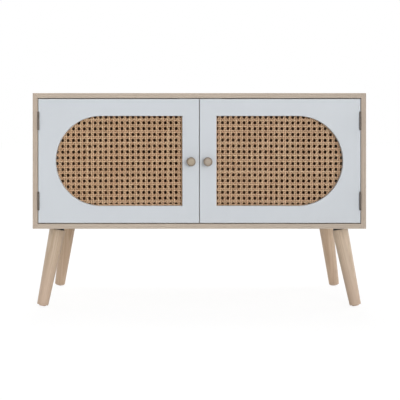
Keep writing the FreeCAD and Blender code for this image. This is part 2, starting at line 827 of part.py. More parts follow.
# Magnetic catches under the top panel: a housing, and a magnet between two steel plates.
catch_x = "-catch_inset"
shell = fuse(
    "catch_shell",
    [
        box(
            "catch_body",
            f"{catch_x} - catch_body_length / 2",
            "catch_front",
            "inside_top - catch_height",
            "catch_body_length",
            "catch_depth",
            "catch_height",
        ),
        box(
            "catch_ears",
            f"{catch_x} - catch_length / 2",
            "catch_front + catch_depth / 4",
            "inside_top - catch_ear",
            "catch_length",
            "catch_depth / 2",
            "catch_ear",
        ),
    ],
)
stack = "magnet_height + 2 * pole_plate"
pocket = box(
    "catch_pocket",
    f"{catch_x} - magnet_length / 2 - peg_gap",
    "catch_front",
    f"catch_middle - ({stack}) / 2 - peg_gap",
    "magnet_length + 2 * peg_gap",
    "magnet_depth + peg_gap",
    f"{stack} + 2 * peg_gap",
)
catch_screws = []
catch_holes = []
for place, way in {"outer": "-1", "inner": "1"}.items():
    spot = (
        f"{catch_x} + {way} * (catch_length + catch_body_length) / 4",
        "catch_front + catch_depth / 2",
        "inside_top - catch_ear",
        ALONG_Z,
        "small_screw",
    )
    reach = "catch_ear + small_screw_grip"
    catch_screws.append(
        panhead_screw(f"catch_screw_{place}", *spot, "small_screw_head", "small_screw_head_height", reach)
    )
    catch_holes.append(peg_hole(f"catch_hole_{place}", *spot, reach))
keep_left_and_right("catch_housing", cut("catch", shell, [pocket] + catch_holes))
layers = {}
for layer, start, height in (
    ("low_plate", f"catch_middle - ({stack}) / 2", "pole_plate"),
    ("magnet", "catch_middle - magnet_height / 2", "magnet_height"),
    ("high_plate", "catch_middle + magnet_height / 2", "pole_plate"),
):
    layers[layer] = box(
        f"catch_{layer}",
        f"{catch_x} - magnet_length / 2",
        "catch_front",
        start,
        "magnet_length",
        "magnet_depth",
        height,
    )
keep("catch_magnets", group("magnet_group", both_sides("magnet", [layers["magnet"]])))
plates = both_sides("pole_plate", [layers["low_plate"], layers["high_plate"]])
keep("catch_pole_plates", group("pole_plate_group", plates))
keep("catch_screws", group("catch_screw_group", both_sides("catch_screw", catch_screws)))

# Legs, built upright below the middle of their seat and then leant towards the corner.


def lean(thing):
    thing.Placement = Placement(Vector(), Rotation(TO_THE_CORNER, 1))
    put(thing, "seat_x", "seat_y", "seat_z")
    return bind(thing, **{"Placement.Rotation.Angle": "leg_splay"})


leg = new_body("leg_blank", "0", "0", "0")
profile = sketch_on(leg, "XZ_Plane")
closed_outline(
    profile, ((0, 0), ("leg_top / 2", 0), ("leg_foot / 2", "-leg_length"), (0, "-leg_length"))
)
turned = add_feature(leg, "Revolution", profile)
turned.ReferenceAxis = (profile, ["V_Axis"])
turned.Angle = 360
doc.recompute()
rims = [
    f"Edge{number}"
    for number, edge in enumerate(turned.Shape.Edges, start=1)
    if edge.isClosed() and abs(edge.BoundBox.ZLength) < SAME_PLACE
]
rounding = leg.newObject("PartDesign::Fillet", "leg_rounding")
rounding.Base = (turned, rims)
bind(rounding, Radius="leg_round")
leg.Tip = rounding

bolt_place = ("0", "0", "-hanger_grip", ALONG_Z, "hanger_bolt", "hanger_grip + hanger_end")
bored_leg = lean(cut("front_leg", leg, [peg_hole("leg_bolt_hole", *bolt_place)]))
hanger = lean(group("front_hanger", [rod("front_hanger_bolt", *bolt_place)]))
bolt_hole = lean(group("front_bolt_hole", [peg_hole("plate_bolt_hole", *bolt_place)]))
glide = lean(
    group(
        "front_glide",
        [rod("front_glide_disc", "0", "0", "-leg_length - glide", ALONG_Z, "glide_diameter", "glide")],
    )
)

boss_length = "leg_drop / cos(leg_splay) + boss_diameter * tan(leg_splay)"
boss = lean(group("tall_boss", [rod("boss", "0", "0", "0", ALONG_Z, "boss_diameter", boss_length)]))
under_panel = box(
    "space_under_panel",
    "plate_x - plate_side",
    "plate_y - plate_side",
    "0",
    "2 * plate_side",
    "2 * plate_side",
    "underside_height",
)
low_boss = doc.addObject("Part::Common", "low_boss")
low_boss.Base = boss
low_boss.Tool = under_panel
flat_plate = box(
    "flat_plate",
    "plate_x - plate_side / 2",
    "plate_y - plate_side / 2",
    "underside_height - plate",
    "plate_side",
    "plate_side",
    "plate",
)
plate_screws = []
plate_holes = []
for across in "-+":
    for along in "-+":
        spot = (
            f"plate_x {across} plate_screw_spacing / 2",
            f"plate_y {along} plate_screw_spacing / 2",
            "underside_height - plate",
            ALONG_Z,
            "plate_screw",
        )
        reach = "plate + plate_screw_grip"
        number = len(plate_screws)
        plate_screws.append(
            panhead_screw(
                f"plate_screw_{number}", *spot, "plate_screw_head", "plate_screw_head_height", reach
            )
        )
        plate_holes.append(peg_hole(f"plate_hole_{number}", *spot, reach))
plate = cut("front_plate", fuse("plate_solid", [flat_plate, low_boss]), [bolt_hole] + plate_holes)

corners = {
    "leg": bored_leg,
    "leg_plate": plate,
}
for name, front in corners.items():
    front_piece, rear_piece = front_and_back(name, front)
    keep(f"front_left_{name}", front_piece)
    keep(f"rear_left_{name}", rear_piece)
    keep(f"front_right_{name}", mirrored(f"{name}_front_right", front_piece))
    keep(f"rear_right_{name}", mirrored(f"{name}_rear_right", rear_piece))
leg_fittings = {"hanger_bolts": [hanger], "leg_plate_screws": plate_screws, "foot_glides": [glide]}
for name, pieces in leg_fittings.items():
    left = [piece for front in pieces for piece in front_and_back(front.Name, front)]
    keep(name, group(f"{name}_group", both_sides(name, left)))
panel_plate_holes = [hole for front in plate_holes for hole in front_and_back(front.Name, front)]

# Carcass boards, with every hole and groove that the pieces above need.
side = board(
    "side_blank", "carcass_left", "carcass_front", "underside_height", "board", "depth", "carcass_height"
)
keep_left_and_right("side_panel", cut("side", side, [groove] + side_holes + leaf_holes["frame"]))
extra_holes = {
    "bottom": partition_holes + both_sides("plate_hole", panel_plate_holes),
    "top": partition_holes + both_sides("catch_hole", catch_holes),
}
for edge, low in EDGES.items():
    blank = board(f"{edge}_blank", "inside_left", "carcass_front", low, "inside_width", "depth", "board")
    keep(f"{edge}_panel", cut(f"{edge}_board", blank, [groove] + end_holes[edge] + extra_holes[edge]))
middle_board = board(
    "partition_blank",
    "-board / 2",
    "partition_front",
    "inside_low",
    "board",
    "back_face - board_gap - (partition_front)",
    "inside_height",
)
keep("centre_partition", cut("partition", middle_board, partition_holes))
keep("carcass_dowels", group("dowel_group", both_sides("dowel", dowels[:-2]) + dowels[-2:]))
keep("cam_bolts", group("cam_bolt_group", both_sides("cam_bolt", bolts)))
keep("cam_locks", group("cam_lock_group", both_sides("cam_lock", cams)))
keep("partition_screws", group("partition_screw_group", partition_screws))

doc.recompute()
broken = [thing.Name for thing in doc.Objects if {"Invalid", "Error"} & set(thing.State)]
if broken:
    raise SystemExit(f"these did not build: {broken}")
for piece in NODES:
    if piece.Shape.isNull() or not piece.Shape.isValid():
        raise SystemExit(f"{piece.Label} is not a valid solid")

os.makedirs("parts", exist_ok=True)
for piece in NODES:
    piece.Shape.exportStep(f"parts/{piece.Label}.step")
    print(piece.Label, len(piece.Shape.Solids), round(piece.Shape.Volume))
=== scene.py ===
import bpy
import numpy as np
from mathutils import Euler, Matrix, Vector


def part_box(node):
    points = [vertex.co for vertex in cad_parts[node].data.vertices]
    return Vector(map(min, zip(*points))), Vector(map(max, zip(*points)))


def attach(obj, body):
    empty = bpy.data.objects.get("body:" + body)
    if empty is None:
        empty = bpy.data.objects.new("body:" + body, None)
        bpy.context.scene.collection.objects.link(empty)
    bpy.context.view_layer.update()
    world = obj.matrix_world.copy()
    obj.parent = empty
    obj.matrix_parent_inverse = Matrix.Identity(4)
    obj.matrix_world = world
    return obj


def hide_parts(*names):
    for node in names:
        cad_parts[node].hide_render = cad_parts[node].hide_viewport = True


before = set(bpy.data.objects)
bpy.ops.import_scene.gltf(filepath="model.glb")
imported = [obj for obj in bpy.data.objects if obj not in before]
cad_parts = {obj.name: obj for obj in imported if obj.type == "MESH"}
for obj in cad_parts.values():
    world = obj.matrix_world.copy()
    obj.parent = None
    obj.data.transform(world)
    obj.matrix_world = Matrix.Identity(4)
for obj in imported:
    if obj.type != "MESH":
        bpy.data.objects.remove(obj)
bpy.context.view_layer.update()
hands = ("left", "right")
quarterTurn = np.pi / 2
print("frame loaded:", len(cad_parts), "nodes")


# Wraps a node's output, so that shader maths reads as a plain expression.
class Wire:
    def __init__(self, finish, socket):
        self.finish = finish
        self.socket = socket

    def __add__(self, other):
        return self.finish.maths("ADD", self, other)

    __radd__ = __add__

    def __sub__(self, other):
        return self.finish.maths("SUBTRACT", self, other)

    def __rsub__(self, other):
        return self.finish.maths("SUBTRACT", other, self)

    def __mul__(self, other):
        return self.finish.maths("MULTIPLY", self, other)

    __rmul__ = __mul__

    def __pow__(self, other):
        return self.finish.maths("POWER", self, other)

    # 0 below low and 1 above high, with a smooth step between them
    def between(self, low, high):
        settings = {"interpolation_type": "SMOOTHSTEP"}
        return self.finish.node("MapRange", settings, {"Value": self, "From Min": low, "From Max": high})

    # a pattern from 0 to 1, swung about nothing by half the amount each way
    def swing(self, amount):
        return (self - 0.5) * amount


# A material, or the sky, and its one shader.
class Finish:
    def __init__(self, name, shader="BsdfPrincipled", sky=False):
        self.made = (bpy.data.worlds if sky else bpy.data.materials).new(name)
        self.made.use_nodes = True
        self.tree = self.made.node_tree
        self.tree.nodes.clear()
        self.shader = self.tree.nodes.new("ShaderNode" + shader)
        output = self.tree.nodes.new("ShaderNodeOutput" + ("World" if sky else "Material"))
        self.tree.links.new(self.shader.outputs[0], output.inputs["Surface"])

    def feed(self, target, value):
        if isinstance(value, Wire):
            self.tree.links.new(value.socket, target)
        elif hasattr(target.default_value, "__len__") and len(value) < len(target.default_value):
            target.default_value = (*value, 1.0)
        else:
            target.default_value = value

    def node(self, kind, settings=None, sockets=None, out=0):
        made = self.tree.nodes.new("ShaderNode" + kind)
        for name, value in (settings or {}).items():
            setattr(made, name, value)
        for name, value in (sockets or {}).items():
            self.feed(made.inputs[name], value)
        return Wire(self, made.outputs[out])

    def maths(self, operation, first, second=0.0):
        return self.node("Math", {"operation": operation}, {0: first, 1: second})

    # a Mix node takes its two colours at 6 and 7 and gives the mixed one at 2
    def mix(self, factor, first, second):
        return self.node("Mix", {"data_type": "RGBA"}, {"Factor": factor, 6: first, 7: second}, 2)

    def here(self):
        return self.node("TexCoord", {}, {}, "Object")

    def parts(self, vector):
        split = self.node("SeparateXYZ", {}, {"Vector": vector}).socket.node
        return [Wire(self, output) for output in split.outputs]

    # scale is one number, or one for each axis
    def noise(self, vector, scale, detail=2.0, roughness=0.5, distortion=0.0):
        if isinstance(scale, tuple):
            vector, scale = self.node("Mapping", {}, {"Vector": vector, "Scale": scale}), 1.0
        sockets = {"Vector": vector, "Scale": scale, "Detail": detail}
        sockets.update({"Roughness": roughness, "Distortion": distortion})
        return self.node("TexNoise", {}, sockets, "Fac")

    # How worn an edge of a box is: 1 on the edge, 0 farther from it than reach. A point on a face
    # is at no distance from that face, so the middle one of its distances along the three axes is
    # the way to the nearest edge.
    def edgeOf(self, box, reach):
        gaps = []
        for place, low, high in zip(self.parts(self.here()), *box):
            gaps.append(self.maths("MINIMUM", place - float(low), float(high) - place))
        small, large = self.maths("MINIMUM", *gaps[:2]), self.maths("MAXIMUM", *gaps[:2])
        middle = self.maths("MAXIMUM", small, self.maths("MINIMUM", large, gaps[2]))
        return 1 - middle.between(0.0, reach)

    # strength is 0 to 1, and depth is in metres
    def bump(self, height, strength, depth):
        return self.node("Bump", {}, {"Height": height, "Strength": strength, "Distance": depth})

    # baseColor=... feeds the shader's Base Color, and so on
    def surface(self, **values):
        for name, value in values.items():
            words = "".join(" " + letter if letter.isupper() else letter for letter in name)
            self.feed(self.shader.inputs[words[0].upper() + words[1:]], value)
        return self.made


# Colours are written as they are seen, 0 to 255 a channel. The sRGB curve turns them into light.
def seen(red, green, blue):
    share = np.array((red, green, blue)) / 255
    light = np.where(share <= 0.04045, share / 12.92, ((share + 0.055) / 1.055) ** 2.4)
    return tuple(float(channel) for channel in light)


# Gives a finish to the frame's own pieces.
def dress(finish, *nodes):
    for name in nodes:
        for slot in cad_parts[name].material_slots:
            slot.material = finish


def ofEachDoor(*endings):
    return [side + ending for side in hands for ending in endings]


# The cabinet stands square to the camera, which is a little left of its middle.
view = {
    "imageWidth": 400,
    "carcassMiddle": 199.40,  # pixel across
    "undersideRow": 228.81,  # pixel down
    "horizonRow": 134.29,  # pixel down
    "carcassPixels": 333.56,
    "distance": 2.123,  # metres in front of the doors
    "aside": -0.050,  # metres from the middle
    "sensor": 36.0,  # millimetres
}
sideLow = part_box("left_side_panel")[0]
frontY = float(sideLow[1])
carcassWidth = -2 * float(sideLow[0])
pixelSize = carcassWidth / view["carcassPixels"]
eyeHeight = float(sideLow[2]) + (view["undersideRow"] - view["horizonRow"]) * pixelSize
eyeColumn = view["carcassMiddle"] + view["aside"] / pixelSize
lens = bpy.data.cameras.new("camera")
lens.sensor_width = view["sensor"]
lens.lens = view["distance"] / pixelSize * view["sensor"] / view["imageWidth"]
lens.shift_x = 0.5 - eyeColumn / view["imageWidth"]
lens.shift_y = view["horizonRow"] / view["imageWidth"] - 0.5
camera = bpy.data.objects.new("camera", lens)
camera.location = (view["aside"], frontY - view["distance"], eyeHeight)
camera.rotation_euler = Euler((quarterTurn, 0, 0))
bpy.context.collection.objects.link(camera)
bpy.context.scene.camera = camera
print("camera placed")


# Woven cane, in metres. Two layers of straight pairs make squares, and slanting strands cut the
# corners of the squares off.
caneShape = {
    "lap": 0.008,  # sheet behind the edge of the opening
    "trim": 0.0016,  # the strands end this far inside the edge of the sheet
    "firstHole": 0.019,  # straight edge of the opening to the nearest column of holes
    "pitchAcross": 0.0163,
    "pitchUp": 0.0175,
    "strandWidth": 0.0029,
    "slantWidth": 0.0027,
    "pairGap": 0.0019,
    # how much nearer the pairs behind the edges of the opening stand
    "crowding": {"left": 0.0055, "right": 0.0038, "lower": 0.0038},
    "skew": 0.0014,  # the sheet is pulled up this much at its straight end
    "thickness": 0.00052,
    "squareSides": 0.6,  # powers that square off the ellipse of a section, 1 for none
    "squareCrown": 0.8,
    "rise": 0.00028,  # of one straight strand over another
    "slantRise": 0.00046,  # of a slanting strand over a pair
    "slantFlat": 2.4,  # how flat a slanting strand runs over a pair
    "wander": 0.00016,  # of a strand from its line
    "waveUp": 0.11,  # how long a wander is, along an upright and a level strand
    "waveAcross": 0.13,
    "wavePhase": 900,  # radians for each metre between the starts of two strands
    "ring": 8,  # points round a strand
    "caps": [[0, 1, 2, 3], [0, 3, 4, 7], [4, 5, 6, 7]],  # faces that close a ring of eight
    "crownPlace": 0.25,  # of the way round a strand
    "straightSteps": 6.6,  # samples from one row of holes to the next
    "slantingSteps": 9.0,  # and from one hole to the next on the slant
    # strands tried, counted from the first column of holes or the middle row
    "columnsTried": (-40, 6),
    "rowsTried": (-12, 13),
    "slantsTried": (-60, 40),
    "searchReach": 0.6,  # the ends of a strand are looked for this far each way
    "searchStep": 0.00025,  # and this finely
    "shortest": 0.004,  # a shorter strand is left out
}


# The sheet's outline and place: a round end about arcX, straight sides as far as reach.
def caneSheet(side):
    low, high = (np.array(corner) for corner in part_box(side + "_cane"))
    outer = float(high[2] - low[2]) / 2
    towardsMiddle = 1.0 if side == "left" else -1.0
    outside = float(low[0] if side == "left" else high[0])
    return {
        "outer": outer - caneShape["trim"],
        "reach": float(high[0] - low[0]) - outer - caneShape["trim"],
        "straight": float(high[0] - low[0]) - outer - caneShape["lap"],
        "opening": outer - caneShape["lap"],
        "arcX": outside + towardsMiddle * outer,
        "midZ": float(high[2] + low[2]) / 2,
        "midY": float(high[1] + low[1]) / 2,
        "towardsMiddle": towardsMiddle,
    }


# Half a disc about the middle of the arc, and a rectangle on from it.
def insideSheet(across, up, sheet):
    roundEnd = (across < 0) & (across**2 + up**2 < sheet["outer"] ** 2)
    flatEnd = (across >= 0) & (across < sheet["reach"]) & (np.abs(up) < sheet["outer"])
    return roundEnd | flatEnd


# Points along each strand, from edge to edge of the sheet: origin + heading * distance.
def strandLines(origins, heading, sheet, step):
    def points(distance):
        return origins[:, :1] + heading[0] * distance, origins[:, 1:] + heading[1] * distance

    distance = np.arange(-caneShape["searchReach"], caneShape["searchReach"], caneShape["searchStep"])
    inside = insideSheet(*points(distance), sheet)
    first = distance[inside.argmax(1)]
    last = distance[len(distance) - 1 - inside[:, ::-1].argmax(1)]
    wanted = inside.any(1) & (last - first > caneShape["shortest"])
    origins, first, last = origins[wanted], first[wanted, None], last[wanted, None]
    samples = int(np.ceil((last - first).max() / step)) + 1
    return origins, *points(first + (last - first) * np.linspace(0, 1, samples))


# A strand is a flat crowned ribbon: its section is an ellipse with squared sides, wide across the
# strand and thin through it, carried along the line at the height that the weave gives it.
def ribbons(across, up, height, heading, width, sheet):
    turn = np.linspace(0, 2 * np.pi, caneShape["ring"], endpoint=False) + np.pi / caneShape["ring"]
    flat = np.sign(np.cos(turn)) * np.abs(np.cos(turn)) ** caneShape["squareSides"]
    crown = np.sign(np.sin(turn)) * np.abs(np.sin(turn)) ** caneShape["squareCrown"]
    pulled = caneShape["skew"] * (across + sheet["outer"]) / (sheet["reach"] + sheet["outer"])
    x = sheet["towardsMiddle"] * (across[..., None] - heading[1] * flat * width / 2)
    y = -(height[..., None] + crown * caneShape["thickness"] / 2)
    z = (up + pulled)[..., None] + heading[0] * flat * width / 2
    return np.stack([sheet["arcX"] + x, sheet["midY"] + y, sheet["midZ"] + z], -1)


# Distance along each strand, measured between the middles of its sections.
def runLength(block):
    step = np.linalg.norm(np.diff(block.mean(2), axis=1), axis=-1)
    return np.concatenate([np.zeros((len(step), 1)), np.cumsum(step, 1)], 1)


# One mesh of many closed ribbons. A block of them is an array [strand, sample, ring, xyz], and
# shades has a number for each of its strands. The map "strand" runs round and along a strand.
def weaveMesh(name, blocks, shades, sheet):
    ring, cap = caneShape["ring"], np.array(caneShape["caps"])
    faces, corners, tones, count = [], [], [], 0
    for block, shade in zip(blocks, shades):
        strands, samples = block.shape[:2]
        number = count + np.arange(strands * samples * ring).reshape(strands, samples, ring)
        after = np.roll(number, -1, 2)
        sides = np.stack([number[:, :-1], after[:, :-1], after[:, 1:], number[:, 1:]], -1)
        caps = np.stack([number[:, 0][:, cap[:, ::-1]], number[:, -1][:, cap]]).reshape(-1, 4)
        faces.append(np.concatenate([sides.reshape(-1, 4), caps]))
        place = np.broadcast_to(np.arange(ring), (strands, samples - 1, ring))
        u = np.stack([place, place + 1, place + 1, place], -1).reshape(-1, 4) / ring
        run = runLength(block)
        v = np.stack([run[:, :-1], run[:, :-1], run[:, 1:], run[:, 1:]], -1)
        v = np.broadcast_to(v[:, :, None, :], (strands, samples - 1, ring, 4)).reshape(-1, 4)
        cut = np.broadcast_to((caneShape["crownPlace"], 0.0), (len(caps), 4, 2))
        corners.append(np.concatenate([np.stack([u, v], -1), cut]))
        tones.append(np.repeat(shade, samples * ring))
        count += number.size
    faces, corners = np.concatenate(faces), np.concatenate(corners)
    if sheet["towardsMiddle"] < 0:  # the mirrored sheet would be inside out
        faces, corners = faces[:, ::-1], corners[:, ::-1]
    mesh = bpy.data.meshes.new(name)
    mesh.from_pydata(np.concatenate([block.reshape(-1, 3) for block in blocks]), [], faces)
    mesh.uv_layers.new(name="strand").data.foreach_set("uv", corners.astype(np.float32).ravel())
    tone = mesh.attributes.new("shade", "FLOAT", "POINT")
    tone.data.foreach_set("value", np.concatenate(tones).astype(np.float32))
    mesh.polygons.foreach_set("use_smooth", np.ones(len(faces), bool))
    mesh.update()
    piece = bpy.data.objects.new(name, mesh)
    bpy.context.collection.objects.link(piece)
    return piece


# Height near a crossing of two pairs, where one strand of each goes over, then under:
# rise * t * exp((1 - t * t) / 2), with t the distance from the crossing over half the spacing of
# a pair.
def overUnder(rise, t):
    return rise * t * np.exp((1 - t * t) / 2)


# A strand strays to its side in a slow wave, and its start gives the wave's phase.
def stray(run, wave, start):
    return caneShape["wander"] * np.sin(run * 2 * np.pi / wave + start * caneShape["wavePhase"])


# Straight strands run in pairs, halfway between the holes, first the upright and then the level
# one of each hand.
def straightStrands(side, sheet, chance):
    c = caneShape
    half = (c["strandWidth"] + c["pairGap"]) / 2
    across, up = c["pitchAcross"], c["pitchUp"]
    columns = sheet["straight"] - c["firstHole"] + across * (np.arange(*c["columnsTried"]) + 0.5)
    crossings = columns[0]
    columns = np.where(columns > sheet["straight"], columns - c["crowding"][side], columns)
    rows = up * np.arange(*c["rowsTried"])
    rows = np.where(rows < -sheet["opening"], rows + c["crowding"]["lower"], rows)
    step = up / c["straightSteps"]
    blocks, shades = [], []
    for hand in (-1, 1):
        starts = columns + hand * half + chance.normal(0, c["wander"] / 2, len(columns))
        origins, x, z = strandLines(np.stack([starts, 0 * starts], -1), (0, 1), sheet, step)
        height = overUnder(hand * c["rise"], (z - up * np.round(z / up)) / half)
        x = x + stray(z, c["waveUp"], origins[:, :1])
        blocks.append(ribbons(x, z, height, (0, 1), c["strandWidth"], sheet))
        shades.append(chance.uniform(0, 1, len(origins)))
        starts = rows + hand * half + chance.normal(0, c["wander"] / 2, len(rows))
        origins, x, z = strandLines(np.stack([0 * starts, starts], -1), (1, 0), sheet, step)
        phase = (x - crossings) / across
        height = overUnder(-hand * c["rise"], (phase - np.round(phase)) * across / half)
        z = z + stray(x, c["waveAcross"], origins[:, 1:])
        blocks.append(ribbons(x, z, height, (1, 0), c["strandWidth"], sheet))
        shades.append(chance.uniform(0, 1, len(origins)))
    return weaveMesh(side + "_cane_straight", blocks, shades, sheet)


# Slanting strands pass midway between neighbouring holes. Those that rise towards the middle of
# the cabinet go over the upright pairs and under the level ones, the others the reverse. The
# height is the tanh of the cosine of the place across, so that a strand runs flat over a pair.
def slantingStrands(side, sheet, chance):
    c = caneShape
    across, up = c["pitchAcross"], c["pitchUp"]
    firstColumn = sheet["straight"] - c["firstHole"]
    length = float(np.hypot(across, up))
    blocks, shades = [], []
    for hand in (-1, 1):
        heading = (across / length, hand * up / length)
        starts = firstColumn + across * (np.arange(*c["slantsTried"]) + 0.5)
        starts = starts + chance.normal(0, c["wander"] / 2, len(starts))
        origins = np.stack([starts, 0 * starts + up / 2], -1)
        origins, x, z = strandLines(origins, heading, sheet, length / c["slantingSteps"])
        turn = (x - firstColumn) / across * 2 * np.pi
        flat = np.tanh(c["slantFlat"] * np.cos(turn))
        height = -hand * c["slantRise"] * flat / np.tanh(c["slantFlat"])
        blocks.append(ribbons(x, z, height, heading, c["slantWidth"], sheet))
        shades.append(chance.uniform(0, 1, len(origins)))
    return weaveMesh(side + "_cane_slanting", blocks, shades, sheet)


canePieces = []
for side, seed in (("left", 3), ("right", 8)):
    sheet = caneSheet(side)
    chance = np.random.default_rng(seed)
    for piece in (straightStrands(side, sheet, chance), slantingStrands(side, sheet, chance)):
        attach(piece, side + "_door_assembly")
        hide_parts(side + "_cane")
        canePieces.append(piece)
        print(piece.name, len(piece.data.polygons), "faces")

# What every piece of oak has in common. A scale is along the grain and twice across it.
oakGrain = {
    "wander": {"scale": (1.2, 6.0, 6.0), "detail": 3.0, "roughness": 0.55},
    "fibre": {"scale": (9.0, 420.0, 420.0), "detail": 3.0, "roughness": 0.6},
    "pores": {"scale": (55.0, 900.0, 900.0)},
    "cloud": {"scale": (2.5, 14.0, 14.0)},
    "wanderDeep": 0.055,  # metres that the rings wander, into the board and across it
    "wanderAcross": 0.02,
    "ringDarkens": (0.0, 0.75),  # from where to where in a ring's width
    "ringEnds": (0.82, 1.0),
    "poreEdge": (0.60, 0.72),  # from where to where in its pattern a pore darkens
    "poresOutside": 0.35,  # how clear the pores are between the rings' dark parts
    "poresInRing": 0.65,  # and how much clearer in them
    "fibreTone": 0.9,
    "cloudTone": 0.5,
    "baseTone": 0.12,
    "poreTone": 0.55,
    "wornBase": 0.3,  # of a worn place's colour, before what its fibres add
    "wornByFibre": 0.5,
    "fibreRough": 0.25,
    "poreRough": 0.12,
    "fibreRelief": 0.35,
    "poreRelief": 0.9,
    "relief": (0.25, 0.0004),
}


# Oak: rings about a log whose middle lies off to one side, pulled long by the grain, with short
# dark pores along it. The grain runs along local X after the turn. Stains are worn, scuffed or
# rosier places, or painted shade: each is a colour and a function of the finish and its fibres that
# gives its share.
def oak(name, look, turn=(0, 0, 0), shift=(0, 0, 0), stains=()):
    f = Finish(name)
    g = oakGrain
    place = f.node("Mapping", {}, {"Vector": f.here(), "Rotation": turn, "Location": shift})
    across, deep = f.parts(place)[1:]
    wander = f.noise(place, **g["wander"])
    lift = deep + look["trunk"] + wander.swing(g["wanderDeep"])
    side = across + wander.swing(g["wanderAcross"])
    radius = (side * side + lift * lift) ** 0.5
    cycle = f.maths("FRACT", radius * look["ringsPerMetre"])
    ring = cycle.between(*g["ringDarkens"]) * (1 - cycle.between(*g["ringEnds"]))
    fibre = f.noise(place, **g["fibre"])
    pore = f.noise(place, **g["pores"]).between(*g["poreEdge"])
    pore = pore * (g["poresOutside"] + g["poresInRing"] * ring)
    cloud = f.noise(place, **g["cloud"])
    grain = ring * look["ringDepth"] + fibre.swing(g["fibreTone"]) + cloud.swing(g["cloudTone"])
    colour = f.mix(grain + g["baseTone"], look["light"], look["dark"])
    colour = f.mix(pore * g["poreTone"], colour, look["pore"])
    for tone, share in stains:
        colour = f.mix(share(f, fibre), colour, tone)
    rough = look["roughness"] + fibre.swing(g["fibreRough"]) + pore * g["poreRough"]
    normal = f.bump(fibre * g["fibreRelief"] - pore * g["poreRelief"], *g["relief"])
    return f.surface(baseColor=colour, roughness=rough, normal=normal)


# Worn places show most along the fibres.
def wornShare(fibre):
    return oakGrain["wornBase"] + oakGrain["wornByFibre"] * fibre


boardLook = {
    "light": seen(198, 184, 168),
    "dark": seen(179, 163, 147),
    "pore": seen(150, 134, 116),
    "worn": seen(206, 194, 178),
    "ringsPerMetre": 190.0,
    "ringDepth": 0.62,
    "trunk": 0.16,  # metres from the board to the middle of the log
    "roughness": 0.58,
    "wornWidth": 0.0012,
    "level": (0, 0, 0),  # turns of the grain
    "upright": (0, quarterTurn, 0),
}
uprightLook = dict(boardLook, light=seen(195, 179, 163), dark=seen(175, 158, 142))
boards = {
    # how the grain runs, the look, and how far along the log the board is cut
    "top_panel": ("level", boardLook, 0.0),
    "bottom_panel": ("level", boardLook, 1.3),
    "left_side_panel": ("upright", uprightLook, 0.4),
    "right_side_panel": ("upright", uprightLook, 1.1),
    "centre_partition": ("upright", uprightLook, 2.3),
}


# Every board gets a finish of its own, because its edges are its own.
def boardOak(name, run, look, shift):
    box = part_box(name)
    worn = look["worn"], lambda f, fibre: f.edgeOf(box, look["wornWidth"]) * wornShare(fibre)
    return oak("oak_" + name, look, look[run], (shift, 0, 0), [worn])


for name, (run, look, shift) in boards.items():
    dress(boardOak(name, run, look, shift), name)

# Legs: the same wood turned round, its grain along each leaning leg, rosier towards the foot and
# scuffed at its rim. The rear pair is painted lighter and browner, and each leg lighter or darker by
# a step of its own: painted light, for how much light reaches each leg.
legLook = {
    # these three are levels, 0 to 255, and each leg is made lighter or darker than them by a step of its
    # own: painted light, for how much light reaches that leg
    "light": (203, 183, 160),
    "dark": (182, 160, 136),
    "pore": (158, 131, 107),
    "paler": {"front_left": -1, "front_right": 17, "rear_left": -14, "rear_right": 6},
    "rosy": seen(204, 178, 157),
    "worn": seen(212, 196, 178),
    "ringsPerMetre": 210.0,
    "ringDepth": 0.55,
    "trunk": 0.05,
    "roughness": 0.5,
    "lean": np.radians(13.6),
    "shift": (0.3, 0.7),  # metres that the wood of a leg is shifted in its log
    "rosyShare": {"front": 0.7, "rear": 0.35},
    "rosyHeights": (0.02, 0.20),  # above the floor
    "scuffHeights": (0.003, 0.009),
}
# Painted light: the rear pair is lighter and browner than the front, for the shade they stand in under
# the cabinet.
rearLegPaintedLightLook = dict(legLook, light=(209, 186, 161), dark=(187, 160, 133))


# 1 up to the lower height and 0 above the upper one.
def belowHeights(f, heights):
    return 1 - f.parts(f.here())[2].between(*heights)


# way is -1 for a front leg and 1 for a rear one, and hand -1 for a left leg and 1 for a right one
def legOak(name, look, way, hand, stains):
    out = np.sin(look["lean"]) / np.sqrt(2)
    axis = Vector((hand * out, way * out, -np.cos(look["lean"])))
    turn = axis.rotation_difference(Vector((1, 0, 0))).to_euler()
    # Painted light: each leg's tones are moved by its own step, for how much light reaches it.
    paler = look["paler"][name.removesuffix("_leg")]
    own = {tone: seen(*(level + paler for level in look[tone])) for tone in ("light", "dark", "pore")}
    shift = (hand * look["shift"][0], way * look["shift"][1], 0)
    return oak("oak_" + name, look | own, turn, shift, stains)


scuffed = (
    legLook["worn"],
    lambda f, fibre: belowHeights(f, legLook["scuffHeights"]) * wornShare(fibre),
)
for end, way, look in (("front", -1, legLook), ("rear", 1, rearLegPaintedLightLook)):
    rosyShare = look["rosyShare"][end]
    rosy = look["rosy"], lambda f, fibre: belowHeights(f, legLook["rosyHeights"]) * rosyShare
    for side, hand in zip(hands, (-1, 1)):
        name = f"{end}_{side}_leg"
        dress(legOak(name, look, way, hand, [rosy, scuffed]), name)

# Knobs: turned with the grain along the knob, so that their faces show end grain. The rim is darker
# than the middle: painted shade for the rounded rim turning away from the light.
knobLook = {
    "light": seen(182, 168, 152),
    "dark": seen(158, 143, 128),
    "pore": seen(122, 110, 97),
    "ringsPerMetre": 320.0,
    "ringDepth": 0.5,
    "trunk": 0.03,
    "roughness": 0.5,
    "turn": (0, 0, quarterTurn),
    "shift": (0, 0.9, 0.1),
    # where the painted shade of the rim starts and ends, and how dark it gets
    "rim": (0.0055, 0.0135),  # metres from the knob's axis, from where to where
    "rimDepth": 0.6,
}
leftKnobLook = dict(knobLook, light=seen(181, 166, 144), dark=seen(157, 141, 119), shift=(0, 0, 0.1))


